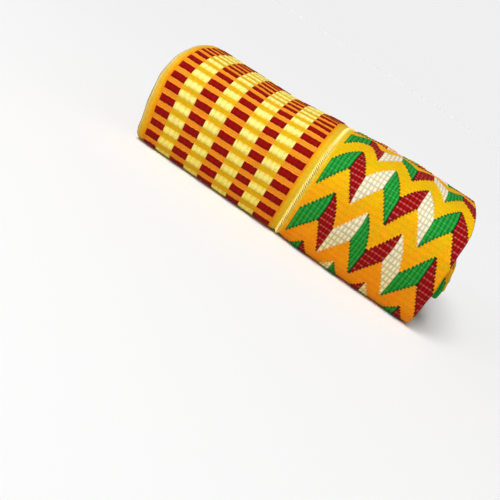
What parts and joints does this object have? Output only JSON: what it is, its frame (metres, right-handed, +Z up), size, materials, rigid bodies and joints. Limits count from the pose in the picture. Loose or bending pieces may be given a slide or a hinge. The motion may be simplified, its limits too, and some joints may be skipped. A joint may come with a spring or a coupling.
{
  "type": "folded kente cloth",
  "caption": "Hand-woven kente cloth, a checked strip sewn to a zigzag strip, folded in half again and again into a soft bundle that rests flat.",
  "frame": {"origin": "middle of the bundle's footprint, on its flat underside", "axes": "+X along the bundle and across both strips, from the checked strip to the zigzag strip; -Y faces out of the smooth front fold; +Z up"},
  "size_m": [0.2163, 0.1129, 0.0795],
  "materials": {
    "checked_weave": "matte thick cotton and rayon weave, golden ground with dark red and pale yellow blocks",
    "zigzag_weave": "matte thick cotton and rayon weave, golden ground with green, dark red and cream inlay"
  },
  "bodies": {
    "root": {"checked_strip": "checked_weave", "zigzag_strip": "zigzag_weave"}
  },
  "joints": []
}
